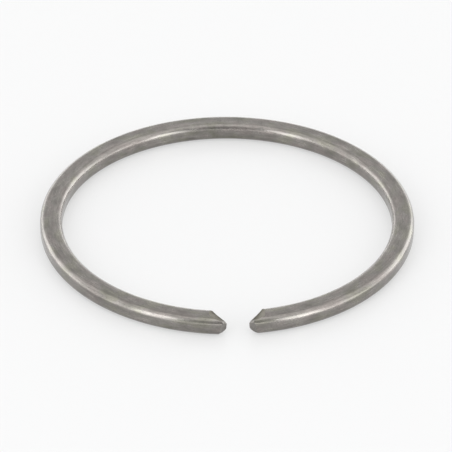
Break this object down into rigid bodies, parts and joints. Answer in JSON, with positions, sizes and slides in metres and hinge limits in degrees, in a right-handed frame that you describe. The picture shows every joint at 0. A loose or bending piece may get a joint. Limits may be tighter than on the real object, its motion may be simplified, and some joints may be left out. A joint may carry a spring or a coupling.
{
  "type": "external snap ring",
  "caption": "C-shaped external snap ring of flat spring wire with rounded edges and slanted, rounded ends. It springs into a shaft's groove and stops what sits beside it.",
  "frame": {"origin": "on the ring's axis, in the plane of its lower face", "axes": "+Z along the ring's axis, through its thickness; the gap between the ends faces -Y; X across the gap"},
  "size_m": [0.071, 0.0709, 0.0035],
  "materials": {
    "spring_steel": "dull grey drawn and tumbled spring steel, brighter on its rounded edges"
  },
  "bodies": {
    "root": {"snap_ring": "spring_steel"}
  },
  "joints": []
}
